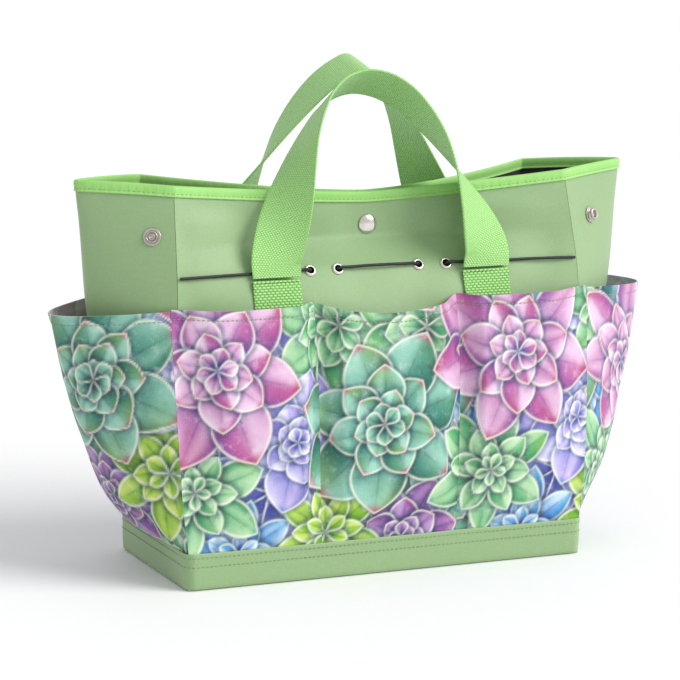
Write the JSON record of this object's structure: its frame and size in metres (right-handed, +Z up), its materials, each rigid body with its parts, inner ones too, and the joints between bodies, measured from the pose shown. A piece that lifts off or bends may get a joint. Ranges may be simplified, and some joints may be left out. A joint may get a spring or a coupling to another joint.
{
  "type": "garden tool bag",
  "caption": "Fabric garden tote with a stiff base, outside pockets all round, a snapped mouth with bound rim, webbing handles and a laced elastic cord.",
  "frame": {"origin": "middle of the base on the floor", "axes": "+Z up, front towards -Y, +X to the right seen from the front, along the bag's length"},
  "size_m": [0.4586, 0.1511, 0.3556],
  "materials": {
    "body_fabric": "sage green coated polyester, fine diagonal weave, charcoal coating inside",
    "binding": "bright green woven binding, single row of stitching",
    "webbing": "bright green ribbed webbing",
    "printed_fabric": "polyester printed with watercolour succulents in teal, lime, lilac and pink",
    "board": "matt stiffener board",
    "nickel": "polished nickel",
    "elastic": "black braided elastic"
  },
  "bodies": {
    "body": {"bottom_panel": "body_fabric", "base_board": "board", "band_front": "body_fabric", "band_back": "body_fabric", "band_left": "body_fabric", "band_right": "body_fabric", "front_panel": "body_fabric", "back_panel": "body_fabric", "left_side_panel": "body_fabric", "right_side_panel": "body_fabric", "binding_left": "binding", "binding_right": "binding", "front_left_pocket": "printed_fabric", "front_middle_pocket": "printed_fabric", "front_right_pocket": "printed_fabric", "back_left_pocket": "printed_fabric", "back_middle_pocket": "printed_fabric", "back_right_pocket": "printed_fabric", "left_side_pocket": "printed_fabric", "right_side_pocket": "printed_fabric", "front_left_strap_tail": "webbing", "front_right_strap_tail": "webbing", "back_left_strap_tail": "webbing", "back_right_strap_tail": "webbing", "side_socket_left_front": "nickel", "side_cap_left_front": "nickel", "side_stud_left_back": "nickel", "side_cap_left_back": "nickel", "side_stud_right_front": "nickel", "side_cap_right_front": "nickel", "side_socket_right_back": "nickel", "side_cap_right_back": "nickel", "eyelet_1": "nickel", "eyelet_2": "nickel", "eyelet_3": "nickel", "eyelet_4": "nickel", "eyelet_washer_1": "nickel", "eyelet_washer_2": "nickel", "eyelet_washer_3": "nickel", "eyelet_washer_4": "nickel", "elastic_cord": "elastic"},
    "front_mouth": {"front_mouth_flap": "body_fabric", "binding_front": "binding", "snap_cap_front": "nickel", "snap_socket": "nickel"},
    "back_mouth": {"back_mouth_flap": "body_fabric", "binding_back": "binding", "snap_cap_back": "nickel", "snap_stud": "nickel"},
    "front_handle": {"front_handle": "webbing"},
    "back_handle": {"back_handle": "webbing"}
  },
  "joints": [
    {"name": "front_mouth_open", "type": "hinge", "parent": "body", "child": "front_mouth", "pos_m": [0, -0.046, 0.2095], "axis": [1, 0, 0], "range_deg": [0, 30]},
    {"name": "back_mouth_open", "type": "hinge", "parent": "body", "child": "back_mouth", "pos_m": [0, 0.048, 0.2095], "axis": [1, 0, 0], "range_deg": [-30, 0]},
    {"name": "front_handle_swing", "type": "hinge", "parent": "front_mouth", "child": "front_handle", "pos_m": [0, -0.048, 0.2095], "axis": [1, 0, 0], "range_deg": [0, 105]},
    {"name": "back_handle_swing", "type": "hinge", "parent": "back_mouth", "child": "back_handle", "pos_m": [0, 0.0415, 0.2095], "axis": [1, 0, 0], "range_deg": [-105, 0]}
  ]
}
